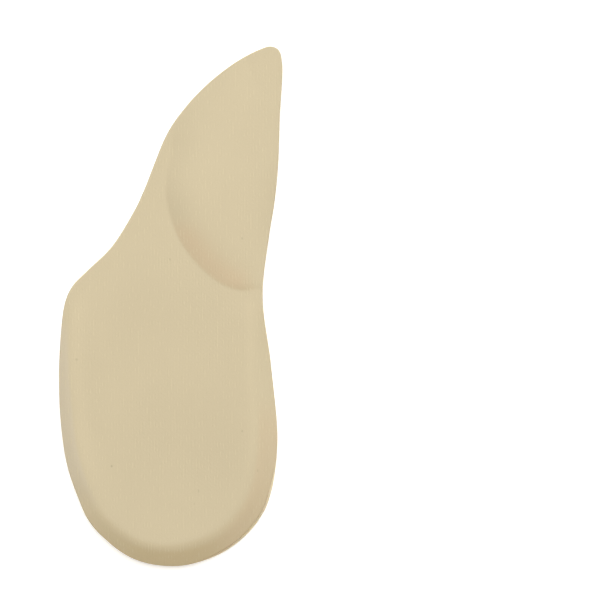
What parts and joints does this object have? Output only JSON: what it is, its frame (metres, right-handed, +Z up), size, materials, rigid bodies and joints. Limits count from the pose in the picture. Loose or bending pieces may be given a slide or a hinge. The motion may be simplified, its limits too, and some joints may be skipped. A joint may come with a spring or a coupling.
{
  "type": "gel insole",
  "caption": "Three-quarter-length gel shoe insole for the left foot, with a bevelled heel, a raised arch dome and a knitted fabric cover.",
  "frame": {"origin": "on the surface that the insole rests on, under the middle of the outline", "axes": "+X towards the medial (arch) side, +Y along the length to the toe end, +Z up through the thickness"},
  "size_m": [0.0666, 0.155, 0.0064],
  "materials": {
    "gel": "soft translucent beige gel, slightly glossy",
    "knit_cover": "fine beige knit, matt"
  },
  "bodies": {
    "root": {"gel_body": "gel", "fabric_cover": "knit_cover"}
  },
  "joints": []
}
